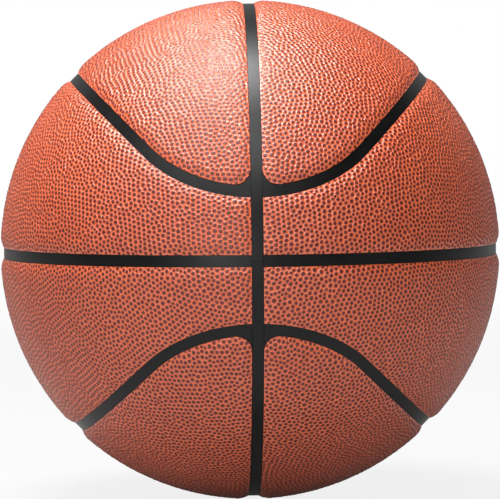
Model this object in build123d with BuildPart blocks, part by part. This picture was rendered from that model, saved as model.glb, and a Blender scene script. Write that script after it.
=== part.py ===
from build123d import *
from math import acos, asin, atan2, copysign, cos, degrees, radians, sin, sqrt, tan
import os

# An inflated eight-panel basketball, from the bladder out to the pebbled cover.
# Millimetres, origin at the centre of the ball, +Z up, front towards -Y, valve at the back, towards +Y.

# Outside of the ball
ball_diameter = 242.0
channel_width = 5.5
channel_depth = 1.7
panel_edge_drop = 1.5
panel_roll_width = 5.5
crown_corner_radius = 7.0

# Run of the two seam loops: side stretches on great circles tilted to the equator, arcs front and back
loop_tilt = 45.0
loop_front_latitude = 15.0

# Layers, from the outside in
cover_thickness = 1.4
cover_edge_thickness = 0.9
pad_thickness = 1.6
carcass_thickness = 1.0
winding_thickness = 0.6
bladder_thickness = 0.8

# Glue lines between layers, pads and strips, and the butt joints of the strips
bond_line = 0.2
pad_edge_inset = 0.3
strip_side_gap = 0.2
strip_joint_gap = 0.2

# Inflation valve
valve_neck_radius = 3.2
valve_neck_gap = 0.15
valve_neck_recess = 0.1
valve_flange_radius = 13.0
valve_flange_thickness = 1.2
valve_stem_wall = 2.2
valve_stem_overhang = 0.6
plug_head_radius = 2.5
plug_head_length = 2.5
plug_body_radius = 2.1
plug_body_length = 11.5
plug_running_clearance = 0.05
plug_tip_chamfer = 0.4
needle_bore_radius = 1.1
needle_bore_depth = 12.0
needle_lead_in = 0.5

# Room that the cutting shapes keep beyond what they cut
cutter_margin = 2.0
crest_lift = 0.03
corner_overrun = 0.1
core_overrun = 0.5

# Radii of the layers
crest_radius = ball_diameter / 2
edge_radius = crest_radius - panel_edge_drop
strip_top_radius = crest_radius - channel_depth
core_crest_radius = crest_radius - cover_thickness
core_edge_radius = edge_radius - cover_edge_thickness
pad_crest_radius = core_crest_radius - bond_line
pad_edge_radius = core_edge_radius - bond_line
pad_floor_radius = pad_crest_radius - pad_thickness
carcass_radius = pad_floor_radius - bond_line
winding_radius = carcass_radius - carcass_thickness - bond_line
bladder_radius = winding_radius - winding_thickness - bond_line
bladder_inner_radius = bladder_radius - bladder_thickness
flange_radius = bladder_inner_radius - bond_line

# Half widths across a seam
half_channel = channel_width / 2
half_strip = half_channel - strip_side_gap
half_core = half_channel - core_overrun
half_pad = half_channel + pad_edge_inset

center = Vector(0, 0, 0)
right = Vector(1, 0, 0)
up = Vector(0, 0, 1)

# The loop's side stretch: its pole, and the arc that rounds it off at the front
tilt = radians(loop_tilt)
front_latitude = radians(loop_front_latitude)
side_pole = Vector(-sin(tilt), 0, cos(tilt))
arc_latitude = atan2(sin(front_latitude), cos(front_latitude) - cos(tilt))
arc_angle = arc_latitude - front_latitude


def arc_pole(facing):
    """Pole of the loop's arc, at the front for facing -1 and at the back for +1."""
    return Vector(0, facing * cos(arc_latitude), sin(arc_latitude))


def loop_joint(facing):
    """Point on the right where the loop's arc runs into its side stretch."""
    pole = arc_pole(facing)
    return (pole - side_pole * pole.dot(side_pole)).normalized()


# How far the loop turns about its poles
side_sweep = 180 - 2 * degrees(acos(-loop_joint(-1).Y))
arc_sweep = degrees(asin(loop_joint(-1).X / sin(arc_angle)))

# Middle of a crown panel's rounded corner, as a latitude in the plane beside the meridian seam
corner_offset = asin((half_channel + crown_corner_radius - corner_overrun) / edge_radius)
corner_reach = acos(cos(arc_angle - corner_offset) / cos(corner_offset))
corner_latitude = arc_latitude - corner_reach


def corner_pole(facing):
    """Pole of the rounded corner of the right-hand crown panel."""
    across = cos(corner_offset)
    return Vector(sin(corner_offset), facing * across * cos(corner_latitude), across * sin(corner_latitude))


def corner_angle(radius):
    """Angle that a corner's radius takes up, seen from the centre of the ball."""
    return asin(radius / edge_radius)


def away_from(pole, other):
    """Direction at one pole that leads straight away from the other."""
    return (pole * pole.dot(other) - other).normalized()


def on_sphere(radius, distance):
    """Point of a section on a sphere about the ball's centre, at a distance from the section's middle."""
    return (distance, sqrt(radius**2 - distance**2))


def section_plane(point, across):
    """Plane through the ball's centre, with the seam point ahead and the width direction to the right."""
    return Plane(origin=center, x_dir=across, z_dir=across.cross(point))


def groove_section(plane, crest, edge, floor, half_width):
    """Section of the groove between two panels, with the rolled margins of both."""
    high = crest + crest_lift
    outer = half_width + panel_roll_width
    left_brow = on_sphere(high, -outer)
    right_brow = on_sphere(high, outer)
    left_edge = on_sphere(edge, -half_width)
    right_edge = on_sphere(edge, half_width)
    top = crest + cutter_margin
    with BuildSketch(plane) as section:
        with BuildLine():
            Polyline(left_brow, (-outer, top), (outer, top), right_brow)
            TangentArc(right_brow, right_edge, tangent=(-right_brow[1], outer))
            Polyline(right_edge, (half_width, floor), (-half_width, floor), left_edge)
            TangentArc(left_brow, left_edge, tangent=(left_brow[1], outer))
        make_face()
    return section.sketch


def corner_section(plane, crest, edge, floor, radius):
    """Section of what is cut away outside a rounded corner, with a wall that is parallel to the corner's pole."""
    brow = on_sphere(crest + crest_lift, -panel_roll_width)
    corner_edge = (0, edge)
    lean = (edge - floor) * tan(corner_angle(radius))
    top = crest + cutter_margin
    with BuildSketch(plane) as section:
        with BuildLine():
            TangentArc(brow, corner_edge, tangent=(brow[1], panel_roll_width))
            Polyline(corner_edge, (lean, floor), (crown_corner_radius, floor), (crown_corner_radius, top))
            Polyline((crown_corner_radius, top), (-panel_roll_width, top), brow)
        make_face()
    return section.sketch


def band_section(plane, floor, top, start, end):
    """Section of a band of rubber between two spheres, from one distance across to another."""
    middle = (start + end) / 2
    with BuildSketch(plane) as section:
        with BuildLine():
            ThreePointArc(on_sphere(top, start), on_sphere(top, middle), on_sphere(top, end))
            Line(on_sphere(top, end), on_sphere(floor, end))
            ThreePointArc(on_sphere(floor, end), on_sphere(floor, middle), on_sphere(floor, start))
            Line(on_sphere(floor, start), on_sphere(top, start))
        make_face()
    return section.sketch


def shell_section(outer, inner):
    """Half of a round layer's section, above the horizontal."""
    with BuildSketch(Plane.YZ) as section:
        with BuildLine():
            CenterArc((0, 0), outer, 0, 180)
            Line((-outer, 0), (-inner, 0))
            CenterArc((0, 0), inner, 0, 180)
            Line((inner, 0), (outer, 0))
        make_face()
    return section.sketch


def revolve_corner(section_of, radius, facing, mode):
    """Turn a section about a corner's pole, from the meridian seam round to the loop."""
    pole = corner_pole(facing)
    first = away_from(pole, right)
    last = away_from(pole, arc_pole(facing))
    angle = corner_angle(radius)
    point = pole * cos(angle) + first * sin(angle)
    outward = first * cos(angle) - pole * sin(angle)
    turn = copysign(1, pole.dot(first.cross(last)))
    sweep = degrees(acos(first.dot(last)))
    revolve(section_of(section_plane(point, outward)), Axis(center, pole * turn), sweep, mode=mode)


def revolve_loop(section_of, arc_turn, mode):
    """Turn a section along the right-hand half of the upper loop: front arc, side stretch and back arc."""
    revolve(section_of(section_plane(loop_joint(-1), side_pole)), Axis(center, side_pole), side_sweep, mode=mode)
    for facing in (-1, 1):
        turn_axis = Axis(center, arc_pole(facing) * facing)
        revolve(section_of(section_plane(loop_joint(facing), side_pole)), turn_axis, arc_turn, mode=mode)


def quarter_layer(crest, edge, floor, half_width, bottom):
    """The crown and the waist panel of the upper right quarter of a layer, with their rolled margins."""
    def groove(plane):
        return groove_section(plane, crest, edge, floor, half_width)

    def corner(plane):
        return corner_section(plane, crest, edge, floor, corner_radius)

    corner_radius = crown_corner_radius + half_channel - half_width
    with BuildPart() as loop_cutter:
        revolve_loop(groove, 2 * arc_sweep, Mode.ADD)

    with BuildPart() as quarter:
        revolve(shell_section(crest, bottom), Axis.Y, 90)
        revolve(groove(section_plane(-up, right)), Axis.X, 360, mode=Mode.SUBTRACT)
        revolve(groove(section_plane(-right, up)), Axis.Z, 360, mode=Mode.SUBTRACT)
        add(loop_cutter.part, mode=Mode.SUBTRACT)

    waist, crown_blank = quarter.part.solids().sort_by(Axis.Z)
    with BuildPart() as crown:
        add(crown_blank)
        for facing in (-1, 1):
            revolve_corner(corner, corner_radius, facing, Mode.SUBTRACT)
    return crown.part, waist


def export_four(source, name):
    """Write a piece of the upper right quarter and its mirror images in the other three."""
    for level in ("upper", "lower"):
        for side in ("right", "left"):
            with BuildPart() as piece:
                add(source)
                if level == "lower":
                    mirror(about=Plane.XY, mode=Mode.REPLACE)
                if side == "left":
                    mirror(about=Plane.YZ, mode=Mode.REPLACE)
            export_piece(piece.part, f"{name}_{level}_{side}")


def export_piece(piece, name):
    """Label a finished piece and write it under its own name."""
    piece.label = name
    export_step(piece, f"parts/{name}.step")


os.makedirs("parts", exist_ok=True)

# Hollow round layers, each with the hole that the valve's neck comes out through


def hollow_ball(outer, thickness):
    """A closed round layer with a hole for the valve's neck at the back."""
    with BuildPart() as layer:
        Sphere(outer)
        Sphere(outer - thickness, mode=Mode.SUBTRACT)
        with Locations(Plane(origin=(0, outer + cutter_margin, 0), z_dir=(0, 1, 0))):
            Hole(valve_neck_radius + valve_neck_gap, depth=outer)
    return layer.part


export_piece(hollow_ball(bladder_radius, bladder_thickness), "bladder")
export_piece(hollow_ball(winding_radius, winding_thickness), "winding")
export_piece(hollow_ball(carcass_radius, carcass_thickness), "carcass")

# Sponge pads, one under each panel
crown_pad, waist_pad = quarter_layer(
    pad_crest_radius, pad_edge_radius, pad_floor_radius - cutter_margin, half_pad, pad_floor_radius
)
export_four(crown_pad, "pad_crown")
export_four(waist_pad, "pad_waist")

# Cover panels: a rolled outside, hollowed by the rolled form of the pad below
cover_bottom = core_edge_radius - core_overrun
crown_outside, waist_outside = quarter_layer(
    crest_radius, edge_radius, cover_bottom - cutter_margin, half_channel, cover_bottom
)
core_bottom = cover_bottom - cutter_margin
crown_core, waist_core = quarter_layer(
    core_crest_radius, core_edge_radius, core_bottom - cutter_margin, half_core, core_bottom
)

with BuildPart() as crown_panel:
    add(crown_outside)
    add(crown_core, mode=Mode.SUBTRACT)
export_four(crown_panel.part, "panel_crown")

with BuildPart() as waist_panel:
    add(waist_outside)
    add(waist_core, mode=Mode.SUBTRACT)
export_four(waist_panel.part, "panel_waist")

# Channel strips: the meridian strip runs through, and the equator and loop strips butt against it


def strip_section(plane):
    """Section of a channel strip."""
    return band_section(plane, pad_floor_radius, strip_top_radius, -half_strip, half_strip)


def meridian_clearance_section(plane):
    """Section of the room that the other strips leave for the meridian strip."""
    half_room = half_strip + strip_joint_gap
    floor = pad_floor_radius - cutter_margin
    return band_section(plane, floor, strip_top_radius + cutter_margin, -half_room, half_room)


with BuildPart() as meridian_room:
    revolve(meridian_clearance_section(section_plane(-up, right)), Axis.X, 360)

with BuildPart() as valve_room:
    with BuildSketch(Plane.XZ):
        Circle(valve_neck_radius + valve_neck_gap)
    extrude(amount=-crest_radius)

with BuildPart() as meridian_strip:
    revolve(strip_section(section_plane(Vector(0, -1, 0), right)), Axis(center, -right), 180)
    split(bisect_by=Plane.XY.offset(strip_joint_gap / 2), keep=Keep.TOP)
    add(valve_room.part, mode=Mode.SUBTRACT)
export_piece(meridian_strip.part, "strip_meridian_upper")

with BuildPart() as meridian_strip_lower:
    add(meridian_strip.part)
    mirror(about=Plane.XY, mode=Mode.REPLACE)
export_piece(meridian_strip_lower.part, "strip_meridian_lower")

with BuildPart() as equator_strip:
    revolve(strip_section(section_plane(Vector(0, -1, 0), up)), Axis.Z, 180)
    add(meridian_room.part, mode=Mode.SUBTRACT)
    add(valve_room.part, mode=Mode.SUBTRACT)
export_piece(equator_strip.part, "strip_equator_right")

with BuildPart() as equator_strip_left:
    add(equator_strip.part)
    mirror(about=Plane.YZ, mode=Mode.REPLACE)
export_piece(equator_strip_left.part, "strip_equator_left")

# A loop strip fills what the panels of its quarter leave free, with webs in the rounded corners
crown_room, waist_room = quarter_layer(
    crest_radius, edge_radius, core_bottom - cutter_margin, half_strip, core_bottom
)

with BuildPart() as loop_strip:
    revolve(shell_section(strip_top_radius, pad_floor_radius), Axis.Y, 90)
    add(crown_room, mode=Mode.SUBTRACT)
    add(waist_room, mode=Mode.SUBTRACT)
    add(meridian_room.part, mode=Mode.SUBTRACT)
    add(loop_strip.solids().sort_by(Axis.Z)[-1], mode=Mode.REPLACE)
export_four(loop_strip.part, "strip_loop")

# Valve: a rubber base bonded inside the bladder, and the plug that takes the needle
neck_top = strip_top_radius - valve_neck_recess
head_floor = neck_top - plug_head_length
plug_end = head_floor - plug_body_length
stem_end = plug_end + valve_stem_overhang
bore_radius = plug_body_radius + plug_running_clearance
counterbore_radius = plug_head_radius + plug_running_clearance
stem_radius = bore_radius + valve_stem_wall
flange_inner_radius = flange_radius - valve_flange_thickness


with BuildPart() as valve_base:
    with BuildSketch(Plane.XY):
        with BuildLine():
            outer_rim = on_sphere(flange_radius, valve_flange_radius)
            inner_rim = on_sphere(flange_inner_radius, valve_flange_radius)
            neck_foot = on_sphere(flange_radius, valve_neck_radius)
            stem_root = on_sphere(flange_inner_radius, stem_radius)
            Polyline((counterbore_radius, neck_top), (valve_neck_radius, neck_top), neck_foot)
            RadiusArc(neck_foot, outer_rim, flange_radius)
            Line(outer_rim, inner_rim)
            RadiusArc(inner_rim, stem_root, -flange_inner_radius)
            Polyline(stem_root, (stem_radius, stem_end), (bore_radius, stem_end), (bore_radius, head_floor))
            Polyline((bore_radius, head_floor), (counterbore_radius, head_floor), (counterbore_radius, neck_top))
        make_face()
    revolve(axis=Axis.Y)
export_piece(valve_base.part, "valve_base")

with BuildPart() as valve_plug:
    with BuildSketch(Plane.XZ.offset(-head_floor)):
        Circle(plug_head_radius)
    extrude(amount=-plug_head_length)
    with BuildSketch(Plane.XZ.offset(-head_floor)):
        Circle(plug_body_radius)
    extrude(amount=plug_body_length)
    with Locations(Plane(origin=(0, neck_top, 0), z_dir=(0, 1, 0))):
        Hole(needle_bore_radius, depth=needle_bore_depth)
    chamfer(valve_plug.edges().group_by(Axis.Y)[0], plug_tip_chamfer)
    mouth = valve_plug.edges().group_by(Axis.Y)[-1].sort_by(SortBy.RADIUS)[0]
    chamfer(mouth, needle_lead_in)
export_piece(valve_plug.part, "valve_plug")
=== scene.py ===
import math
from itertools import product

import bpy
import numpy as np
from bpy.props import FloatProperty, FloatVectorProperty, IntProperty, PointerProperty
from mathutils import Matrix, Vector
from mathutils.geometry import delaunay_2d_cdt
from mathutils.kdtree import KDTree


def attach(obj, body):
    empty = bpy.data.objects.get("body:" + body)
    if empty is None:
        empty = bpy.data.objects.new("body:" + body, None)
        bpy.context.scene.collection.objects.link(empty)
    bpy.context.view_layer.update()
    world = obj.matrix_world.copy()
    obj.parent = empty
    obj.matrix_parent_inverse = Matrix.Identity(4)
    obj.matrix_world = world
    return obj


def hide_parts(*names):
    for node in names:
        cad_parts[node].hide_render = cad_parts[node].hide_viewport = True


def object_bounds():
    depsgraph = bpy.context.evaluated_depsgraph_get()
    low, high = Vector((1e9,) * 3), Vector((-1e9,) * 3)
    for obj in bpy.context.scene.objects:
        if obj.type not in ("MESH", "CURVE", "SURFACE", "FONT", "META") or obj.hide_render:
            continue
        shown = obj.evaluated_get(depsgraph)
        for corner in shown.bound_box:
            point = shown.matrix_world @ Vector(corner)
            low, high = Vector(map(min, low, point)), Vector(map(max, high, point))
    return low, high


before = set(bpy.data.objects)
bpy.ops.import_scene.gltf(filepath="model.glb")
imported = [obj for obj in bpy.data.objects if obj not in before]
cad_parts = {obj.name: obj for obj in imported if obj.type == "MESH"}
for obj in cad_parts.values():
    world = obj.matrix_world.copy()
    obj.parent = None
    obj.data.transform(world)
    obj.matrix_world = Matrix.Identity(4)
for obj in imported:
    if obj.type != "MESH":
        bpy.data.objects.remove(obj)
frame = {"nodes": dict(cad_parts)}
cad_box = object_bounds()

bl_info = {
    "name": "Basketball",
    "version": (1, 0, 0),
    "blender": (4, 5, 0),
    "location": "3D View > Sidebar > Ball",
    "description": "Dresses the solids of an eight-panel basketball in pebbled leather and rubber",
    "category": "Add Mesh",
}

# The body that carries the cover, the two kinds of panel, and each quarter's signs of X and Z
BALL = "ball"
PANELS = ("crown", "waist")
QUARTERS = {
    "upper_right": (1, 1),
    "upper_left": (-1, 1),
    "lower_right": (1, -1),
    "lower_left": (-1, -1),
}

# Directions of the frame, and one near the middle of each kind of panel
RIGHT = np.array((1.0, 0.0, 0.0))
BACK = np.array((0.0, 1.0, 0.0))
UP = np.array((0.0, 0.0, 1.0))
MIDDLE = {"crown": (0.40, 0, 0.92), "waist": (0.94, 0, 0.34)}

# Layout of the pebbles, with lengths in pebble pitches
RING = 7  # points round each ring of a pebble
SETTLING = 8  # rounds in which the pebbles settle
JITTER = 0.22  # random step of each starting place
LAYOUT_BEYOND = 2.0  # how far the layout runs past a panel's edge
HELD_BEYOND = 1.0  # pebbles further past the edge are held still
LONGEST_RAY = 1.5  # longest ray in a pebble's mean width, in its shortest rays
FLANK_LIMIT = 0.90  # widest flank, of the room to the neighbours
TOP_LIMIT = 0.78  # widest top, of the room to the neighbours
TOP_RISE = 0.85  # rise at the rim of a top, of the pebble's height
FLANK_RISE = 0.40  # rise at the flank, of the pebble's height
NO_PEBBLE = -1  # number of a point that belongs to no pebble

# Meshes of the panels and pads, in metres unless said
EDGE_MESH = 0.34  # step along a panel's edge, in pebble pitches
RIM_CLEARANCE = 0.0003  # least distance from the grain's points to the edge
FADE_WIDTH = 0.0012  # margin over which the grain rises from the edge
UNDERSIDE_MESH = 0.007  # distance between the points of a panel's underside
PAD_MARGIN = 0.6  # least distance from a pad's inner points to its edge, in mesh steps
PAD_SETTLING = 4  # rounds in which a pad's points settle
TINY = 1e-9

# Finishes
SKIN_DEPTH = 0.0001  # relief of leather and rubber skin, in metres
PORE_DEPTH = 0.0003  # relief of pores and threads, in metres
SCUFF_STRETCH = (1.0, 0.12, 0.5)
YARN_AXES = ((0.3, 0.2, 1.0), (1.0, -0.4, 0.2), (-0.3, 1.0, 0.4), (0.6, 0.7, -0.5))
YARN_TURN = 6000.0  # radians per metre along an axis, about one thread to a millimetre
TALC = (0.20, 0.20, 0.20)
GREY_DUST = (0.08, 0.08, 0.08)

# Lamps: name, place, size, the setting of its power, and whether gloss mirrors it
LAMPS = (
    ("top lamp", (-0.22, -0.06, 1.20), (0.60, 0.70), "top_power", True),
    ("upper lamp", (-0.28, -1.02, 1.20), (1.50, 0.76), "upper_power", True),
    ("front lamp", (-0.50, -2.05, 0.20), (0.75, 0.65), "front_power", True),
    ("left back lamp", (-1.5, 1.3, 0.6), (1.2, 1.2), "back_power", False),
    ("right back lamp", (1.5, 1.3, 0.6), (1.2, 1.2), "back_power", False),
)
SENSOR_WIDTH = 36.0  # of the camera, in millimetres


def number(name, description, default, **limits):
    """A number that shows in the sidebar."""
    return FloatProperty(name=name, description=description, default=default, **limits)


def length(name, description, default):
    """A size in metres."""
    return number(name, description, default, min=0, unit="LENGTH", precision=5)


def angle(name, description, degrees):
    """An angle, given in degrees and kept in radians."""
    return number(name, description, math.radians(degrees), unit="ROTATION")


def share(name, description, default):
    """A share of a whole, from none to all of it."""
    return number(name, description, default, min=0, max=1, subtype="FACTOR")


def power(name, description, default):
    """A lamp's power in watts."""
    return number(name, description, default, min=0, unit="POWER")


def colour(name, description, default):
    """A colour that shows in the sidebar, in linear light."""
    return FloatVectorProperty(
        name=name, description=description, default=default, min=0, max=1, subtype="COLOR"
    )


class BallSizes(bpy.types.PropertyGroup):
    """Sizes of the cover, its seams and the pads below it."""

    crest_radius: length("Crest Radius", "From the ball's centre to the pebbles' tops", 0.121)
    channel_width: length("Channel Width", "Width of the black channels", 0.0055)
    edge_drop: length("Edge Drop", "How far a panel's edge lies below its crest", 0.0015)
    roll_width: length("Roll Width", "Width of the margin that rolls down to the edge", 0.0055)
    corner_radius: length("Corner Radius", "Radius of a crown panel's corners", 0.007)
    loop_tilt: angle("Loop Tilt", "Angle between the equator and a loop's side stretch", 45)
    front_latitude: angle("Front Latitude", "Height at which a loop crosses the meridian", 15)
    cover_thickness: length("Cover Thickness", "Thickness of a panel at its crest", 0.0014)
    cover_edge_thickness: length("Cover Edge", "Thickness of a panel at its edge", 0.0009)
    bond_line: length("Bond Line", "Glue between a panel and its pad", 0.0002)
    pad_thickness: length("Pad Thickness", "Thickness of a sponge pad at its crest", 0.0016)
    pad_inset: length("Pad Inset", "How far a pad stays inside its panel's edge", 0.0003)
    pad_mesh: length("Pad Mesh", "Distance between a pad's mesh points", 0.003)
    pebble_pitch: length("Pebble Pitch", "Distance between neighbouring pebbles", 0.0024)
    pebble_height: length("Pebble Height", "Height of a pebble over the valleys", 0.00060)
    height_spread: share("Height Spread", "How much lower the lowest pebbles are", 0.3)
    top_share: share("Top Share", "Width of a pebble's top in its cell", 0.69)
    flank_share: share("Flank Share", "Width of a pebble halfway down, in its cell", 0.85)
    top_spread: share("Top Spread", "How much the tops differ in width", 0.07)
    roundness: share("Roundness", "How round the tops are in their angular cells", 0.70)
    seed: IntProperty(name="Seed", description="Start of the random pebble layout", default=7)


class BallColours(bpy.types.PropertyGroup):
    """Colours of the cover, the channels and the layers inside."""

    leather: colour("Leather", "Valleys and flanks of the pebble grain", (0.69, 0.124, 0.044))
    leather_warm: colour("Warm Leather", "Lighter patches of the valleys", (0.74, 0.147, 0.056))
    ink: colour("Ink", "Dark tops of the pebbles", (0.110, 0.013, 0.009))
    ink_worn: colour("Worn Ink", "Tops where the ink is thin", (0.165, 0.025, 0.018))
    channel: colour("Channel", "Black rubber of the channel strips", (0.0016, 0.0016, 0.0017))
    channel_dust: colour("Channel Dust", "Scuffs and dust on the strips", (0.008, 0.008, 0.0084))
    sponge: colour("Sponge", "Foam of the pads", (0.36, 0.31, 0.22))
    carcass: colour("Carcass", "Rubber layer under the pads", (0.060, 0.030, 0.018))
    yarn: colour("Yarn", "Nylon wound over the bladder", (0.55, 0.52, 0.45))
    bladder: colour("Bladder", "Butyl rubber of the bladder", (0.018, 0.018, 0.020))
    valve: colour("Valve", "Rubber of the valve's base", (0.022, 0.021, 0.020))
    plug: colour("Plug", "Rubber of the plug that takes the needle", (0.055, 0.052, 0.048))


class BallStage(bpy.types.PropertyGroup):
    """Camera, lamps and floor."""

    distance: length("Camera Distance", "From the centre of the ball to the camera", 1.452)
    azimuth: angle("Azimuth", "Turn of the ball before the camera", 1.65)
    elevation: angle("Elevation", "Nod of the ball towards the camera", 2.5)
    roll: angle("Roll", "Lean of the ball in the picture", -0.56)
    lens: number("Lens", "Focal length", 214.9, min=1, unit="CAMERA")
    top_power: power("Top Lamp", "Soft box over the ball", 28)
    upper_power: power("Upper Lamp", "Wide soft box high in front of the ball", 17)
    front_power: power("Front Lamp", "Soft box to the left of the camera", 9.5)
    back_power: power("Back Lamps", "Each of the two soft boxes behind the ball", 15)
    surround: share("Surround", "Level of the light from all round", 0.04)
    floor: colour("Floor", "Floor and backdrop", (0.40, 0.40, 0.40))


class Link:
    """A socket of a node tree. Arithmetic on it adds Math nodes."""

    def __init__(self, tree, socket=None):
        self.tree = tree
        self.socket = socket

    def node(self, kind, settings=None, sockets=None, out=0):
        """Add a node, set it up, fill or link its inputs, and return one of its outputs."""
        made = self.tree.nodes.new(kind)
        for key, value in (settings or {}).items():
            setattr(made, key, value)
        for key, value in (sockets or {}).items():
            if isinstance(value, Link):
                self.tree.links.new(value.socket, made.inputs[key])
            else:
                made.inputs[key].default_value = value
        return Link(self.tree, made.outputs[out] if len(made.outputs) else None)

    def math(self, operation, first, second):
        """A Math node on two values, each a link or a number."""
        return self.node("ShaderNodeMath", {"operation": operation}, {0: first, 1: second})

    def __add__(self, other):
        return self.math("ADD", self, other)

    __radd__ = __add__

    def __sub__(self, other):
        return self.math("SUBTRACT", self, other)

    def __rsub__(self, other):
        return self.math("SUBTRACT", other, self)

    def __mul__(self, other):
        return self.math("MULTIPLY", self, other)

    __rmul__ = __mul__

    def between(self, low, high, start=0.0, end=1.0):
        """The value eased from start to end as it goes from low to high."""
        sockets = {"Value": self, "From Min": low, "From Max": high, "To Min": start, "To Max": end}
        return self.node("ShaderNodeMapRange", {"interpolation_type": "SMOOTHSTEP"}, sockets)

    def mix(self, first, second):
        """One colour turned into another as the value goes from none to all."""
        first, second = (c if isinstance(c, Link) else (*c, 1) for c in (first, second))
        sockets = {0: self, 6: first, 7: second}
        return self.node("ShaderNodeMix", {"data_type": "RGBA"}, sockets, out=2)


def new_finish(name):
    """An empty material, its start link, its Principled shader and the object coordinates."""
    material = bpy.data.materials.new(name)
    material.use_nodes = True
    tree = material.node_tree
    start = Link(tree)
    place = start.node("ShaderNodeTexCoord", out="Object")
    return material, start, tree.nodes["Principled BSDF"], place


def feed(shader, **sockets):
    """Set or link the shader's sockets, named with underscores for spaces."""
    tree = shader.id_data
    for key, value in sockets.items():
        socket = shader.inputs[key.replace("_", " ").title().replace("Ior", "IOR")]
        if isinstance(value, Link):
            tree.links.new(value.socket, socket)
        else:
            socket.default_value = value


def shaded(tint, level):
    """A colour made lighter or darker."""
    return tuple(min(1, level * part) for part in tint)


def grain(place, scale, detail=2.0, roughness=0.5):
    """Cloudy noise in object space."""
    sockets = {"Vector": place, "Scale": scale, "Detail": detail, "Roughness": roughness}
    return place.node("ShaderNodeTexNoise", None, sockets)


def raised(height, strength, distance, base=None):
    """A normal that follows a height over the surface, or over a base normal, in metres."""
    sockets = {"Strength": strength, "Distance": distance, "Height": height}
    if base is not None:
        sockets["Normal"] = base
    return height.node("ShaderNodeBump", None, sockets)


def levelled(flat, place):
    """The surface normal, turned straight out from the ball where flat is 1."""
    smooth = flat.node("ShaderNodeNewGeometry", out="Normal")
    settings = {"vector_type": "NORMAL", "convert_from": "OBJECT", "convert_to": "WORLD"}
    outward = flat.node("ShaderNodeVectorTransform", settings, {0: place})
    straight = flat.node("ShaderNodeVectorMath", {"operation": "NORMALIZE"}, {0: outward})
    sockets = {0: flat, 4: smooth, 5: straight}
    blend = flat.node("ShaderNodeMix", {"data_type": "VECTOR"}, sockets, out=1)
    return flat.node("ShaderNodeVectorMath", {"operation": "NORMALIZE"}, {0: blend})


def leather_finish(colours):
    """Orange leather with a clear coat, its pebble tops inked dark and rubbed level."""
    material, start, shader, place = new_finish("pebbled leather")
    ink_starts, ink_full = 0.70, 0.84
    coat_full, coat_ends = 0.70, 0.85
    level_starts, level_full = 0.85, 0.93
    rise = start.node("ShaderNodeAttribute", {"attribute_name": "rise"}, out="Fac")
    tone = start.node("ShaderNodeAttribute", {"attribute_name": "tone"}, out="Fac")
    ragged = grain(place, 1400)
    inked = (rise + 0.20 * (ragged - 0.5)).between(ink_starts, ink_full)
    coated = 1 - rise.between(coat_full, coat_ends)
    cloud = grain(place, 18, 3).between(0.35, 0.65)
    fleck = grain(place, 900)
    valley = (0.6 * cloud + 0.5 * fleck - 0.1).mix(colours.leather, colours.leather_warm)
    top = (0.7 * tone + 0.5 * fleck - 0.1).mix(colours.ink, colours.ink_worn)
    level = levelled(0.85 * rise.between(level_starts, level_full), place)
    skin = grain(place, 2600, 3, 0.6)
    feed(
        shader,
        base_color=inked.mix(valley, top),
        roughness=0.36 + 0.05 * inked + 0.10 * (fleck - 0.5),
        coat_weight=0.50 * coated,
        coat_roughness=0.28,
        normal=raised(skin, 0.20, SKIN_DEPTH, level),
        specular_ior_level=0.52,
    )
    return material


def rubber_finish(name, body, dust, roughness):
    """Moulded rubber with faint scuffs, dust and a fine skin."""
    material, start, shader, place = new_finish(name)
    cloud = grain(place, 60, 4, 0.6)
    speck = grain(place, 900, 3)
    stretched = start.node("ShaderNodeMapping", None, {"Vector": place, "Scale": SCUFF_STRETCH})
    scuff = grain(stretched, 700, 3, 0.7).between(0.60, 0.80)
    dusty = 0.4 * cloud.between(0.45, 0.75) + 0.35 * scuff + 0.3 * speck.between(0.62, 0.72)
    feed(
        shader,
        base_color=dusty.mix(body, dust),
        roughness=roughness + 0.16 * (cloud - 0.5) + 0.10 * scuff,
        normal=raised(speck + 0.6 * scuff, 0.12, SKIN_DEPTH),
        specular_ior_level=0.3,
    )
    return material


def sponge_finish(colours):
    """Open foam: small round pores, painted darker inside as shade in their hollows."""
    material, start, shader, place = new_finish("sponge")
    sockets = {"Vector": place, "Scale": 900.0}
    pores = start.node("ShaderNodeTexVoronoi", {"feature": "F1"}, sockets)
    open_pore = 1 - pores.between(0.10, 0.42)
    cloud = grain(place, 70, 3)
    # Painted shade: a darker copy of the foam colour fills each pore.
    dark = shaded(colours.sponge, 0.35)
    feed(
        shader,
        base_color=(0.8 * open_pore + 0.2 * cloud).mix(colours.sponge, dark),
        roughness=0.85 + 0.1 * open_pore,
        normal=raised(1 - open_pore, 0.6, PORE_DEPTH),
    )
    return material


def yarn_finish(colours):
    """Nylon thread wound in crossing circles, painted darker between the threads as shade in the
    grooves.
    """
    material, start, shader, place = new_finish("wound yarn")
    turns = None
    for axis in YARN_AXES:
        sockets = {0: place, 1: axis}
        along = start.node(
            "ShaderNodeVectorMath", {"operation": "DOT_PRODUCT"}, sockets, out="Value"
        )
        thread = start.node("ShaderNodeMath", {"operation": "SINE"}, {0: along * YARN_TURN})
        turns = thread if turns is None else start.math("MAXIMUM", turns, thread)
    # Where no thread lies on top, a darker copy of the yarn colour is painted shade in the grooves.
    over = turns.between(0.2, 1.0)
    feed(
        shader,
        base_color=over.mix(shaded(colours.yarn, 0.3), colours.yarn),
        roughness=0.75 - 0.2 * over,
        normal=raised(over, 0.5, PORE_DEPTH),
    )
    return material


def unit(vectors):
    """Vectors scaled to length one."""
    vectors = np.asarray(vectors, float)
    return vectors / np.linalg.norm(vectors, axis=-1, keepdims=True)


def towards(pole, other):
    """Direction at a pole that leads straight to another point of the ball."""
    return unit(other - pole * (pole @ other))


def ahead(pole, other, turn):
    """Point of the unit ball that lies a turn away from a pole, towards another point."""
    return pole * math.cos(turn) + towards(pole, other) * math.sin(turn)


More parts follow.
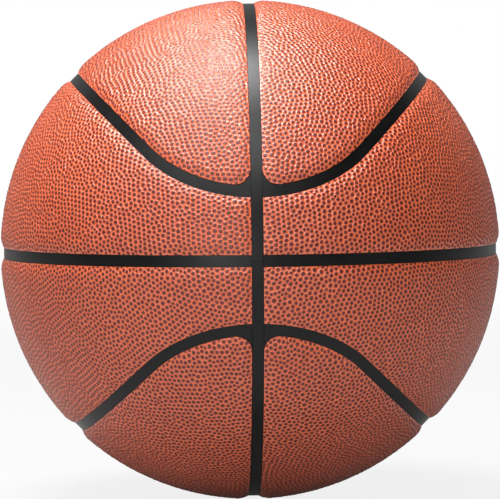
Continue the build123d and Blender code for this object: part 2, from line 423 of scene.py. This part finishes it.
def crossing(pole_a, turn_a, pole_b, turn_b, near):
    """Where two circles about two poles meet, on the side of a direction."""
    lean = pole_a @ pole_b
    cos_a, cos_b = math.cos(turn_a), math.cos(turn_b)
    middle = (pole_a * (cos_a - lean * cos_b) + pole_b * (cos_b - lean * cos_a)) / (1 - lean**2)
    side = np.cross(pole_a, pole_b)
    side = side * math.sqrt((1 - middle @ middle) / (side @ side))
    return max((middle + side, middle - side), key=lambda point: point @ near)


class SeamPlan:
    """Where the seams of the upper right quarter run, and how far inside a panel a point lies.

    A loop is a tilted great circle at the side (side_pole) and an arc about arc_pole at the
    front (facing -1) and at the back (facing 1). The two meet at joint.
    """

    def __init__(self, sizes):
        self.radius = sizes.crest_radius
        edge = sizes.crest_radius - sizes.edge_drop
        self.half = math.asin(sizes.channel_width / 2 / edge)
        tilt, front = sizes.loop_tilt, sizes.front_latitude
        self.side_pole = np.array((-math.sin(tilt), 0, math.cos(tilt)))
        arc_latitude = math.atan2(math.sin(front), math.cos(front) - math.cos(tilt))
        self.arc_turn = arc_latitude - front
        self.corner_turn = math.asin(sizes.corner_radius / edge)
        beside = math.asin((sizes.channel_width / 2 + sizes.corner_radius) / edge)
        reach = math.acos(math.cos(self.arc_turn - beside) / math.cos(beside))
        corner_latitude = arc_latitude - reach
        level = math.cos(beside) * math.cos(corner_latitude)
        height = math.cos(beside) * math.sin(corner_latitude)
        self.arc_pole, self.joint, self.corner, self.tip = {}, {}, {}, {}
        for facing in (-1, 1):
            pole = np.array((0, facing * math.cos(arc_latitude), math.sin(arc_latitude)))
            self.arc_pole[facing] = pole
            self.joint[facing] = unit(pole - self.side_pole * (pole @ self.side_pole))
            self.corner[facing] = np.array((math.sin(beside), facing * level, height))
            self.tip[facing] = np.array((0, facing * math.cos(front), math.sin(front)))

    def stretches(self, panel, inset):
        """The circles that bound a panel, as pole and first point, moved inwards by an inset."""
        half = self.half + inset / self.radius
        if panel == "crown":
            turn = self.arc_turn - half
            corner_turn = self.corner_turn - inset / self.radius
            base, ends = RIGHT, self.corner
            near = {f: ahead(q, -RIGHT, corner_turn) for f, q in ends.items()}
            far = {f: ahead(q, -self.arc_pole[f], corner_turn) for f, q in ends.items()}
        else:
            turn = self.arc_turn + half
            level = math.pi / 2 - half
            base, ends = UP, {-1: RIGHT, 1: RIGHT}
            near = {f: crossing(RIGHT, level, UP, level, f * BACK) for f in ends}
            far = {f: crossing(RIGHT, level, self.arc_pole[f], turn, self.tip[f]) for f in ends}
        joint = {f: ahead(self.arc_pole[f], self.joint[f], turn) for f in ends}
        return [
            (base, near[-1]),
            (ends[1], near[1]),
            (self.arc_pole[1], far[1]),
            (self.side_pole, joint[1]),
            (self.arc_pole[-1], joint[-1]),
            (ends[-1], far[-1]),
        ]

    def runs(self, panel, inset):
        """Pole, first and last point of each circle that bounds a panel."""
        found = self.stretches(panel, inset)
        lasts = [first for _, first in found[1:] + found[:1]]
        return [(pole, first, last) for (pole, first), last in zip(found, lasts)]

    def run(self, pole, first, last):
        """Length of a circle's run, its two half axes and the angle that it turns through."""
        across = first - pole * (pole @ first)
        forward = np.cross(pole, across)
        turn = math.atan2(last @ forward, last @ across)
        return abs(turn) * np.linalg.norm(across), across, forward, turn

    def row(self, panel, inset, spacing):
        """A closed row of points along a panel's edge, with the same count at any inset."""
        lengths = [self.run(*run)[0] * self.radius for run in self.runs(panel, 0)]
        counts = [max(1, round(run / spacing)) for run in lengths]
        points = []
        for count, (pole, first, last) in zip(counts, self.runs(panel, inset)):
            _, across, forward, turn = self.run(pole, first, last)
            steps = np.linspace(0, turn, count, endpoint=False)[:, None]
            points.append(pole * (pole @ first) + np.cos(steps) * across + np.sin(steps) * forward)
        return np.concatenate(points)

    def depth(self, panel, points):
        """How far points lie inside a panel's edge, in metres."""
        x, y, z = points[:, 0], -np.abs(points[:, 1]), points[:, 2]
        folded = np.stack((x, y, z), 1)
        pole, joint, corner = self.arc_pole[-1], self.joint[-1], self.corner[-1]
        on_arc = folded @ np.cross(self.side_pole, joint) < 0
        from_arc = np.arccos(np.clip(folded @ pole, -1, 1)) - self.arc_turn
        from_side = -np.arcsin(np.clip(folded @ self.side_pole, -1, 1))
        outside_loop = np.where(on_arc, from_arc, from_side)
        beside_meridian = np.arcsin(np.clip(x, -1, 1))
        if panel == "waist":
            over_equator = np.arcsin(np.clip(z, -1, 1))
            nearest = np.minimum(outside_loop, np.minimum(beside_meridian, over_equator))
            return self.radius * (nearest - self.half)
        nearest = np.minimum(-outside_loop, beside_meridian) - self.half
        seam_way, loop_way = towards(corner, -RIGHT), towards(corner, -pole)
        lean = seam_way @ loop_way
        seam_part, loop_part = folded @ seam_way, folded @ loop_way
        in_corner = (seam_part > lean * loop_part) & (loop_part > lean * seam_part)
        round_corner = self.corner_turn - np.arccos(np.clip(folded @ corner, -1, 1))
        return self.radius * np.where(in_corner, round_corner, nearest)


class FlatMap:
    """Conformal map of a panel to a plane, so that flat triangles are good ones on the ball."""

    def __init__(self, panel):
        self.pole = unit(MIDDLE[panel])
        self.second = BACK
        self.first = np.cross(self.second, self.pole)

    def flat(self, points):
        """Points of the unit ball, laid in the plane."""
        scale = 2 / (1 + points @ self.pole)
        return np.stack((points @ self.first * scale, points @ self.second * scale), 1)

    def round(self, flat):
        """Points of the plane, put back on the unit ball."""
        rest = (flat**2).sum(1, keepdims=True) / 4
        level = flat[:, :1] * self.first + flat[:, 1:] * self.second
        return (level + (1 - rest) * self.pole) / (1 + rest)


def triangles(flat, outline=0):
    """Delaunay triangles, inside the closed outline that the first points may form."""
    edges = [(i, (i + 1) % outline) for i in range(outline)]
    only_inside = 1 if outline else 0
    points, _, faces, origins, _, _ = delaunay_2d_cdt(
        [Vector(point) for point in flat.tolist()], edges, [], only_inside, TINY
    )
    if len(points) != len(flat):
        raise RuntimeError("points of a panel fall together")
    source = np.array([origin[0] for origin in origins])
    return source[np.array(faces)]


def even_points(plan, panel, pitch, margin, rng):
    """Evenly spread points of a panel, at least a margin inside its edge."""
    cell = pitch**2 * math.sqrt(3) / 2
    count = int(4 * math.pi * plan.radius**2 / cell)
    place = np.arange(count) + 0.5
    turn = place * math.pi * (3 - math.sqrt(5))
    height = 1 - 2 * place / count
    level = np.sqrt(1 - height**2)
    points = np.stack((level * np.cos(turn), level * np.sin(turn), height), 1)
    spin, _ = np.linalg.qr(rng.normal(size=(3, 3)))
    points = unit(points @ spin + rng.normal(size=points.shape) * JITTER * pitch / plan.radius)
    return points[plan.depth(panel, points) > margin]


def settle(inner, fence, to_plane, rounds):
    """Let inner points drift to the middle of their neighbours, inside a fence of fixed ones."""
    for _ in range(rounds):
        every = np.concatenate((inner, fence))
        faces = triangles(to_plane.flat(every))
        a, b, c = (every[faces[:, k]] for k in range(3))
        middle = every[faces].mean(1)
        size = np.linalg.norm(np.cross(b - a, c - a), axis=1)
        drift = np.zeros_like(every)
        for k in range(3):
            np.add.at(drift, faces[:, k], middle * size[:, None])
        inner = unit(drift[: len(inner)])
    return inner


class PebblePlan:
    """Where a panel's pebbles sit, and how wide each is along its rays.

    The layout runs past the panel's edge, which cuts the grain where it falls.
    """

    def __init__(self, plan, panel, sizes, to_plane, rng):
        pitch = sizes.pebble_pitch
        places = even_points(plan, panel, pitch, -LAYOUT_BEYOND * pitch, rng)
        held = plan.depth(panel, places) < -HELD_BEYOND * pitch
        inner = settle(places[~held], places[held], to_plane, SETTLING)
        self.count = len(inner)
        self.flat = to_plane.flat(np.concatenate((inner, places[held])))
        self.faces = triangles(self.flat)
        first_way = rng.uniform(0, 2 * math.pi, self.count)[:, None]
        way = first_way + np.arange(RING) * 2 * math.pi / RING
        self.ray = np.stack((np.cos(way), np.sin(way)), 2)
        room = self.room()
        mean = np.minimum(room, LONGEST_RAY * room.min(1, keepdims=True)).mean(1, keepdims=True)
        shape = sizes.roundness * mean + (1 - sizes.roundness) * room
        spread = 1 + sizes.top_spread * rng.uniform(-1, 1, self.count)[:, None]
        self.reach = room
        self.flank = np.minimum(sizes.flank_share * shape, FLANK_LIMIT * room)
        self.top = np.minimum(sizes.top_share * spread * shape, TOP_LIMIT * room)

    def sides(self):
        """The two pebbles at the ends of each side of the triangles."""
        return np.concatenate([self.faces[:, pair] for pair in ((0, 1), (1, 2), (2, 0))])

    def room(self):
        """How far each ray of a pebble reaches to the line halfway to its neighbours."""
        sides = self.sides()
        links = np.unique(np.concatenate((sides, sides[:, ::-1])), axis=0)
        links = links[links[:, 0] < self.count]
        starts = np.searchsorted(links[:, 0], np.arange(self.count))
        step = self.flat[links[:, 1]] - self.flat[links[:, 0]]
        along = (step[:, None, :] * self.ray[links[:, 0]]).sum(2)
        reach = (step**2).sum(1)[:, None] / 2 / np.maximum(along, TINY)
        return np.minimum.reduceat(np.where(along > TINY, reach, np.inf), starts, axis=0)

    def points(self):
        """Flat points of the grain, the rise of each and the number of its pebble."""
        middles = self.flat[: self.count]
        tops, flanks = (
            (middles[:, None, :] + ring[:, :, None] * self.ray).reshape(-1, 2)
            for ring in (self.top, self.flank)
        )
        sides = np.unique(np.sort(self.sides(), 1), axis=0)
        valleys = np.concatenate([
            self.flat[group[(group < self.count).any(1)]].mean(1) for group in (self.faces, sides)
        ])
        own = np.arange(self.count)
        rings = np.repeat(own, RING)
        sets = (
            (middles, 1.0, own),
            (tops, TOP_RISE, rings),
            (flanks, FLANK_RISE, rings),
            (valleys, 0.0, np.full(len(valleys), NO_PEBBLE)),
        )
        return (
            np.concatenate([points for points, _, _ in sets]),
            np.concatenate([np.full(len(points), rise) for points, rise, _ in sets]),
            np.concatenate([pebbles for _, _, pebbles in sets]),
        )

    def cut(self, rim):
        """Rise and pebble number at the rim's flat points, where the edge cuts the pebbles."""
        tree = KDTree(self.count)
        for i, (x, y) in enumerate(self.flat[: self.count].tolist()):
            tree.insert((x, y, 0), i)
        tree.balance()
        found = [tree.find((x, y, 0)) for x, y in rim.tolist()]
        pebble = np.array([i for _, i, _ in found])
        away = np.array([distance for _, _, distance in found])
        top, flank, reach = (ring[pebble].mean(1) for ring in (self.top, self.flank, self.reach))
        upper = np.clip((flank - away) / (flank - top), 0, 1)
        lower = np.clip((reach - away) / (reach - flank), 0, 1)
        return (TOP_RISE - FLANK_RISE) * upper + FLANK_RISE * lower, pebble


def rolled(depth, crest, edge, width):
    """Radius of a layer that rolls down from its crest to its edge over a width."""
    drop = crest - edge
    bend = (width**2 + drop**2) / (2 * drop)
    short = np.clip(width - depth, 0, width)
    return crest - bend + np.sqrt(bend**2 - short**2)


def facing_out(faces, flat):
    """The triangles, all counted the same way round in the plane."""
    (ax, ay), (bx, by), (cx, cy) = (flat[faces[:, k]].T for k in range(3))
    turn = (bx - ax) * (cy - ay) - (by - ay) * (cx - ax)
    return np.where(turn[:, None] < 0, faces[:, ::-1], faces)


def closed_form(top, top_faces, bottom, bottom_faces, rim):
    """One closed shell from a top and a bottom whose first points are the same rim."""
    below = len(top)
    here = np.arange(rim)
    after = (here + 1) % rim
    upper = np.stack((after, here, here + below), 1)
    lower = np.stack((after, here + below, after + below), 1)
    wall = np.concatenate((upper, lower))
    edge = top[:rim]
    runs_clockwise = np.cross(edge, np.roll(edge, -1, axis=0)).sum(0) @ edge.mean(0) < 0
    if runs_clockwise:
        wall = wall[:, ::-1]
    faces = np.concatenate((top_faces, bottom_faces[:, ::-1] + below, wall))
    return np.concatenate((top, bottom)), faces


def mirrored(points, faces, quarter):
    """A form of the upper right quarter, moved to another quarter with its faces outwards."""
    across, up = QUARTERS[quarter]
    return points * (across, 1, up), faces[:, ::-1] if across * up < 0 else faces


def new_mesh(name, points, faces):
    """A smooth mesh of triangles."""
    mesh = bpy.data.meshes.new(name)
    mesh.vertices.add(len(points))
    mesh.vertices.foreach_set("co", points.astype(np.float32).ravel())
    mesh.loops.add(faces.size)
    mesh.loops.foreach_set("vertex_index", faces.astype(np.int32).ravel())
    mesh.polygons.add(len(faces))
    mesh.polygons.foreach_set("loop_start", np.arange(0, faces.size, 3, dtype=np.int32))
    mesh.update(calc_edges=True)
    mesh.validate()
    return mesh


def mark_edges(mesh, rims):
    """Make closed rims sharp, each given by its first point and its count of points."""
    pairs = np.zeros(len(mesh.edges) * 2, np.int32)
    mesh.edges.foreach_get("vertices", pairs)
    pairs = np.sort(pairs.reshape(-1, 2), 1)
    sharp = np.zeros(len(pairs), bool)
    for start, count in rims:
        low, high = pairs[:, 0] - start, pairs[:, 1] - start
        inside = (low >= 0) & (high < count)
        sharp |= inside & ((high - low == 1) | (high - low == count - 1))
    mesh.attributes.new("sharp_edge", "BOOLEAN", "EDGE").data.foreach_set("value", sharp)


def lay_out_map(mesh, panel, points, faces, top_count):
    """A UV map: the top in four squares, the underside and the walls in a strip above."""
    squares, gutter, filled, top_band = 4, 0.03, 0.94, 0.9
    strip_foot, strip_width, under_left, wall_left = 0.92, 0.46, 0.02, 0.52
    wall_height, under_height = 0.03, 0.07
    crown_start, crown_span = 0.07, 0.86
    ball = unit(points)
    if panel == "crown":
        along = np.arctan2(ball[:, 2], -ball[:, 1]) / math.pi
        along = (along - crown_start) / crown_span
        across = np.arcsin(ball[:, 0]) / (math.pi / 4)
    else:
        along = np.arctan2(ball[:, 1], ball[:, 0]) / math.pi + 0.5
        across = np.arcsin(ball[:, 2]) / (math.pi / 4)
    u, v = along[faces], across[faces]
    square = np.clip((u.mean(1) * squares).astype(int), 0, squares - 1)[:, None]
    top_u = (square % 2 + gutter + filled * (u * squares - square)) / 2
    top_v = (square // 2 + gutter + filled * v) / 2 * top_band
    below = np.where(faces < top_count, 0.0, 1.0)
    on_top = (below.max(1) == 0)[:, None]
    on_wall = ~on_top & (below.min(1) == 0)[:, None]
    side_u = np.where(on_wall, wall_left, under_left) + strip_width * u
    wall_v = strip_foot + wall_height * below + wall_height * (v > 0.5)
    side_v = np.where(on_wall, wall_v, strip_foot + under_height * v)
    flat = np.stack((np.where(on_top, top_u, side_u), np.where(on_top, top_v, side_v)), 2)
    layer = mesh.uv_layers.new(name="OFBake")
    layer.data.foreach_set("uv", flat.astype(np.float32).ravel())


def link_mesh(mesh):
    """An object for a mesh, linked to the scene under the mesh's name."""
    made = bpy.data.objects.new(mesh.name, mesh)
    bpy.context.scene.collection.objects.link(made)
    return made


def stand_for(piece, node):
    """Let a finished piece ride on the ball and stand for a CAD node."""
    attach(piece, BALL)
    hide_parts(node)


def dress(node, material):
    """Put one material on a CAD node."""
    node.data.materials.clear()
    node.data.materials.append(material)


def grain_tree():
    """Geometry nodes that lift the pebbles of a panel out of its valleys."""
    tree = bpy.data.node_groups.new("pebble grain", "GeometryNodeTree")
    inputs = {
        "Panel": "NodeSocketGeometry",
        "Pebble Height": "NodeSocketFloat",
        "Height Spread": "NodeSocketFloat",
        "Seed": "NodeSocketInt",
        "Leather": "NodeSocketMaterial",
    }
    for name, kind in inputs.items():
        tree.interface.new_socket(name=name, in_out="INPUT", socket_type=kind)
    tree.interface.new_socket(name="Panel", in_out="OUTPUT", socket_type="NodeSocketGeometry")
    start = Link(tree)
    entry = tree.nodes.new("NodeGroupInput")
    panel, height, spread, seed, leather = (Link(tree, entry.outputs[name]) for name in inputs)
    rise, fade, pebble = (
        start.node("GeometryNodeInputNamedAttribute", {"data_type": kind}, {"Name": name})
        for name, kind in (("rise", "FLOAT"), ("fade", "FLOAT"), ("pebble", "INT"))
    )
    lowest = 1 - spread
    sockets = {2: lowest, 3: 1.0, "ID": pebble, "Seed": seed}
    own_height = start.node("FunctionNodeRandomValue", {"data_type": "FLOAT"}, sockets, out=1)
    sockets = {"ID": pebble, "Seed": seed + 1}
    tone = start.node("FunctionNodeRandomValue", {"data_type": "FLOAT"}, sockets, out=1)
    place = start.node("GeometryNodeInputPosition")
    outward = start.node("ShaderNodeVectorMath", {"operation": "NORMALIZE"}, {0: place})
    sockets = {0: outward, "Scale": height * own_height * rise * fade}
    lift = start.node("ShaderNodeVectorMath", {"operation": "SCALE"}, sockets)
    pebbled = start.node("GeometryNodeSetPosition", None, {"Geometry": panel, "Offset": lift})
    toned = start.node(
        "GeometryNodeStoreNamedAttribute",
        {"data_type": "FLOAT", "domain": "POINT"},
        {"Geometry": pebbled, "Name": "tone", "Value": tone},
    )
    plain = start.node("GeometryNodeRealizeInstances", None, {"Geometry": toned})
    sockets = {"Geometry": plain, "Material": leather}
    dressed = start.node("GeometryNodeSetMaterial", None, sockets)
    start.node("NodeGroupOutput", None, {0: dressed})
    return tree


def apply_tree(piece, tree, values):
    """Run geometry nodes on a piece and keep the result as its plain mesh."""
    modifier = piece.modifiers.new(tree.name, "NODES")
    modifier.node_group = tree
    for item in tree.interface.items_tree:
        if item.in_out == "INPUT" and item.name in values:
            modifier[item.identifier] = values[item.name]
    seen = piece.evaluated_get(bpy.context.evaluated_depsgraph_get())
    result = bpy.data.meshes.new_from_object(seen)
    piece.modifiers.remove(modifier)
    source = piece.data
    piece.data = result
    bpy.data.meshes.remove(source)
    result.name = piece.name


def panel_top(plan, sizes, panel, to_plane, rim, rng):
    """Points and triangles of a panel's top, still level, and the marks of its grain."""
    layout = PebblePlan(plan, panel, sizes, to_plane, rng)
    inner, rise, pebble = layout.points()
    inside = plan.depth(panel, to_plane.round(inner)) > RIM_CLEARANCE
    rim_flat = to_plane.flat(rim)
    rim_rise, rim_pebble = layout.cut(rim_flat)
    flat = np.concatenate((rim_flat, inner[inside]))
    points = to_plane.round(flat)
    depth = plan.depth(panel, points)
    depth[: len(rim)] = 0
    fade = np.clip(depth / FADE_WIDTH, 0, 1)
    crest, edge = sizes.crest_radius, sizes.crest_radius - sizes.edge_drop
    level = rolled(depth, crest, edge, sizes.roll_width) - sizes.pebble_height * fade
    marks = {
        "rise": np.concatenate((rim_rise, rise[inside])),
        "fade": fade,
        "pebble": np.concatenate((rim_pebble, pebble[inside])),
    }
    return points * level[:, None], facing_out(triangles(flat, len(rim)), flat), marks


def panel_underside(plan, sizes, panel, to_plane, rim, rng):
    """Points and triangles of a panel's plain underside."""
    inner = even_points(plan, panel, UNDERSIDE_MESH, UNDERSIDE_MESH / 2, rng)
    points = np.concatenate((rim, inner))
    flat = to_plane.flat(points)
    depth = np.concatenate((np.zeros(len(rim)), plan.depth(panel, inner)))
    crest = sizes.crest_radius - sizes.cover_thickness
    edge = sizes.crest_radius - sizes.edge_drop - sizes.cover_edge_thickness
    level = rolled(depth, crest, edge, sizes.roll_width)
    return points * level[:, None], facing_out(triangles(flat, len(rim)), flat)


def panel_form(plan, sizes, panel, quarter, seed):
    """A panel's closed mesh, marked for the nodes that lift its pebbles."""
    rng = np.random.default_rng(seed)
    to_plane = FlatMap(panel)
    rim = plan.row(panel, 0, EDGE_MESH * sizes.pebble_pitch)
    top, top_faces, marks = panel_top(plan, sizes, panel, to_plane, rim, rng)
    under, under_faces = panel_underside(plan, sizes, panel, to_plane, rim, rng)
    points, faces = closed_form(top, top_faces, under, under_faces, len(rim))
    placed, faces = mirrored(points, faces, quarter)
    mesh = new_mesh(f"leather_{panel}_{quarter}", placed, faces)
    for name, kind, exact, plain in (
        ("rise", "FLOAT", np.float32, 0),
        ("fade", "FLOAT", np.float32, 0),
        ("pebble", "INT", np.int32, NO_PEBBLE),
    ):
        values = np.concatenate((marks[name], np.full(len(under), plain))).astype(exact)
        mesh.attributes.new(name, kind, "POINT").data.foreach_set("value", values)
    mark_edges(mesh, ((0, len(rim)), (len(top), len(rim))))
    lay_out_map(mesh, panel, points, faces, len(top))
    return mesh


def pad_form(plan, sizes, panel, quarter):
    """A sponge pad's closed mesh, rolled down at its margin as its panel is."""
    rng = np.random.default_rng(sizes.seed)
    to_plane = FlatMap(panel)
    rim = plan.row(panel, sizes.pad_inset, sizes.pad_mesh)
    fence = np.concatenate((rim, plan.row(panel, -sizes.pad_mesh, sizes.pad_mesh)))
    margin = sizes.pad_inset + PAD_MARGIN * sizes.pad_mesh
    inner = even_points(plan, panel, sizes.pad_mesh, margin, rng)
    inner = settle(inner, fence, to_plane, PAD_SETTLING)
    both = np.concatenate((rim, inner))
    flat = to_plane.flat(both)
    faces = facing_out(triangles(flat, len(rim)), flat)
    depth = np.concatenate((np.zeros(len(rim)), plan.depth(panel, inner) - sizes.pad_inset))
    crest = sizes.crest_radius - sizes.cover_thickness - sizes.bond_line
    edge = sizes.crest_radius - sizes.edge_drop - sizes.cover_edge_thickness - sizes.bond_line
    top = both * rolled(depth, crest, edge, sizes.roll_width)[:, None]
    under = both * (crest - sizes.pad_thickness)
    points, faces = closed_form(top, faces, under, faces, len(rim))
    mesh = new_mesh(f"sponge_{panel}_{quarter}", *mirrored(points, faces, quarter))
    mark_edges(mesh, ((0, len(rim)), (len(both), len(rim))))
    return mesh


class BALL_OT_cover_panels(bpy.types.Operator):
    """Make the eight pebbled cover panels"""

    bl_idname = "ball.cover_panels"
    bl_label = "Cover Panels"

    def execute(self, context):
        sizes = context.scene.ball_sizes
        plan = SeamPlan(sizes)
        leather = leather_finish(context.scene.ball_colours)
        tree = grain_tree()
        for i, (panel, quarter) in enumerate(product(PANELS, QUARTERS)):
            seed = sizes.seed + i
            piece = link_mesh(panel_form(plan, sizes, panel, quarter, seed))
            apply_tree(piece, tree, {
                "Pebble Height": sizes.pebble_height,
                "Height Spread": sizes.height_spread,
                "Seed": seed,
                "Leather": leather,
            })
            stand_for(piece, f"panel_{panel}_{quarter}")
        return {"FINISHED"}


class BALL_OT_sponge_pads(bpy.types.Operator):
    """Make the eight sponge pads under the panels"""

    bl_idname = "ball.sponge_pads"
    bl_label = "Sponge Pads"

    def execute(self, context):
        sizes = context.scene.ball_sizes
        plan = SeamPlan(sizes)
        sponge = sponge_finish(context.scene.ball_colours)
        for panel, quarter in product(PANELS, QUARTERS):
            mesh = pad_form(plan, sizes, panel, quarter)
            mesh.materials.append(sponge)
            pad = link_mesh(mesh)
            stand_for(pad, f"pad_{panel}_{quarter}")
        return {"FINISHED"}


class BALL_OT_channel_strips(bpy.types.Operator):
    """Give the channel strips their black rubber"""

    bl_idname = "ball.channel_strips"
    bl_label = "Channel Strips"

    def execute(self, context):
        colours = context.scene.ball_colours
        rubber = rubber_finish("channel rubber", colours.channel, colours.channel_dust, 0.40)
        for name, node in frame["nodes"].items():
            if name.startswith("strip_"):
                dress(node, rubber)
        return {"FINISHED"}


class BALL_OT_inner_layers(bpy.types.Operator):
    """Give the carcass, the winding and the bladder their rubber and yarn"""

    bl_idname = "ball.inner_layers"
    bl_label = "Inner Layers"

    def execute(self, context):
        nodes, colours = frame["nodes"], context.scene.ball_colours
        lighter = shaded(colours.carcass, 2)
        dress(nodes["carcass"], rubber_finish("carcass rubber", colours.carcass, lighter, 0.6))
        dress(nodes["winding"], yarn_finish(colours))
        dress(nodes["bladder"], rubber_finish("bladder rubber", colours.bladder, TALC, 0.5))
        return {"FINISHED"}


class BALL_OT_valve(bpy.types.Operator):
    """Give the valve's base and its plug their rubber"""

    bl_idname = "ball.valve"
    bl_label = "Valve"

    def execute(self, context):
        nodes, colours = frame["nodes"], context.scene.ball_colours
        dress(nodes["valve_base"], rubber_finish("valve rubber", colours.valve, GREY_DUST, 0.5))
        dress(nodes["valve_plug"], rubber_finish("plug rubber", colours.plug, GREY_DUST, 0.4))
        return {"FINISHED"}


class BALL_OT_stage(bpy.types.Operator):
    """Set up the floor, the backdrop, the lamps and the camera"""

    bl_idname = "ball.stage"
    bl_label = "Stage"

    def execute(self, context):
        stage = context.scene.ball_stage
        context.scene.view_settings.view_transform = "Standard"
        self.add_sweep(stage)
        self.add_world(context.scene, stage)
        for name, place, size, setting, in_gloss in LAMPS:
            lamp = self.add_lamp(context.scene, name, place, size, getattr(stage, setting))
            lamp.visible_glossy = in_gloss
        self.add_camera(context.scene, stage)
        return {"FINISHED"}

    def add_sweep(self, stage):
        """A pale floor that curves up into a backdrop behind the ball."""
        low = cad_box[0].z
        bend, back, wide, front, tall, steps = 1.5, 5.0, 8.0, -8.0, 5.0, 12
        side = [(front, low), (back - bend, low)]
        for step in range(1, steps + 1):
            turn = step / steps * math.pi / 2
            over, up = bend * math.sin(turn), bend - bend * math.cos(turn)
            side.append((back - bend + over, low + up))
        side.append((back, low + tall))
        points = [(x, y, z) for y, z in side for x in (-wide, wide)]
        faces = [(2 * i, 2 * i + 1, 2 * i + 3, 2 * i + 2) for i in range(len(side) - 1)]
        mesh = bpy.data.meshes.new("floor")
        mesh.from_pydata(points, [], faces, shade_flat=False)
        mesh.materials.append(self.floor_finish(stage))
        link_mesh(mesh)

    def floor_finish(self, stage):
        """Pale paint that looks white to the camera, and to gloss behind the ball, with painted
        shade in that white close to the ball.
        """
        material, start, shader, place = new_finish("pale floor")
        cloud = grain(place, 3)
        feed(shader, base_color=cloud.mix(stage.floor, shaded(stage.floor, 0.97)), roughness=0.9)
        camera, glossy, through = (
            start.node("ShaderNodeLightPath", out=f"Is {ray} Ray")
            for ray in ("Camera", "Glossy", "Transmission")
        )
        away = start.node("ShaderNodeVectorMath", {"operation": "LENGTH"}, {0: place}, out="Value")
        depth = start.node("ShaderNodeSeparateXYZ", None, {0: place}, out="Y")
        # Near the ball the paint keeps some of its own shade, and with it the shadow.
        shown = camera * away.between(0.6, 2.0, start=0.85, end=1.0)
        # Gloss sees the white only behind the ball, and less of it close to the ball, as painted
        # shade where the ball's shadow falls.
        behind = depth.between(-0.35, 0.10) * away.between(0.15, 0.55, start=0.12, end=0.4)
        seen = start.math("MAXIMUM", shown, start.math("MAXIMUM", glossy, through) * behind)
        white = start.node("ShaderNodeEmission", None, {"Color": (1, 1, 1, 1), "Strength": 1.0})
        sockets = {0: seen, 1: Link(start.tree, shader.outputs[0]), 2: white}
        mixed = start.node("ShaderNodeMixShader", None, sockets)
        output = start.tree.nodes["Material Output"]
        start.tree.links.new(mixed.socket, output.inputs["Surface"])
        return material

    def add_world(self, scene, stage):
        """A little light from all round, and plain white to the camera."""
        world = bpy.data.worlds.new("studio")
        world.use_nodes = True
        background = world.node_tree.nodes["Background"]
        camera = Link(world.node_tree).node("ShaderNodeLightPath", out="Is Camera Ray")
        strength = stage.surround + (1 - stage.surround) * camera
        feed(background, color=(1, 1, 1, 1), strength=strength)
        scene.world = world

    def add_lamp(self, scene, name, place, size, watts):
        """A round soft box that faces the ball."""
        lamp = bpy.data.lights.new(name, "AREA")
        lamp.shape = "ELLIPSE"
        lamp.size, lamp.size_y = size
        lamp.energy = watts
        shown = bpy.data.objects.new(name, lamp)
        shown.location = place
        shown.rotation_euler = (-Vector(place)).to_track_quat("-Z", "Y").to_euler()
        scene.collection.objects.link(shown)
        return shown

    def add_camera(self, scene, stage):
        """A long lens that looks at the ball's centre, turned as the ball seems to be."""
        turned = (
            Matrix.Rotation(stage.roll, 3, "Y")
            @ Matrix.Rotation(stage.elevation, 3, "X")
            @ Matrix.Rotation(stage.azimuth, 3, "Z")
        ).transposed()
        right, forward, up = (turned @ Vector(axis) for axis in (RIGHT, BACK, UP))
        data = bpy.data.cameras.new("camera")
        data.sensor_width = SENSOR_WIDTH
        data.lens = stage.lens
        camera = bpy.data.objects.new("camera", data)
        pose = Matrix((right, up, -forward)).transposed().to_4x4()
        pose.translation = -stage.distance * forward
        camera.matrix_world = pose
        scene.collection.objects.link(camera)
        scene.camera = camera


class BALL_PT_sidebar(bpy.types.Panel):
    """The ball's sizes, colours and making steps"""

    bl_idname = "BALL_PT_sidebar"
    bl_label = "Basketball"
    bl_space_type = "VIEW_3D"
    bl_region_type = "UI"
    bl_category = "Ball"

    def draw(self, context):
        """List the making steps, then each group of settings in a box."""
        layout = self.layout
        for step in STEPS:
            layout.operator(step.bl_idname)
        for group in GROUPS:
            box = layout.box()
            settings = getattr(context.scene, group)
            for name in settings.__annotations__:
                box.prop(settings, name)


GROUPS = {"ball_sizes": BallSizes, "ball_colours": BallColours, "ball_stage": BallStage}
STEPS = (
    BALL_OT_stage,
    BALL_OT_cover_panels,
    BALL_OT_sponge_pads,
    BALL_OT_channel_strips,
    BALL_OT_inner_layers,
    BALL_OT_valve,
)


def register():
    """Add the settings, the making steps and the sidebar to Blender."""
    for name, group in GROUPS.items():
        bpy.utils.register_class(group)
        setattr(bpy.types.Scene, name, PointerProperty(type=group))
    for step in (*STEPS, BALL_PT_sidebar):
        bpy.utils.register_class(step)


def unregister():
    """Take the sidebar, the making steps and the settings out again."""
    for step in reversed((*STEPS, BALL_PT_sidebar)):
        bpy.utils.unregister_class(step)
    for name, group in reversed(GROUPS.items()):
        delattr(bpy.types.Scene, name)
        bpy.utils.unregister_class(group)


def main():
    """Make the whole ball on its stage."""
    register()
    bpy.ops.ball.stage()
    bpy.ops.ball.cover_panels()
    bpy.ops.ball.sponge_pads()
    bpy.ops.ball.channel_strips()
    bpy.ops.ball.inner_layers()
    bpy.ops.ball.valve()


if __name__ == "__main__":
    main()
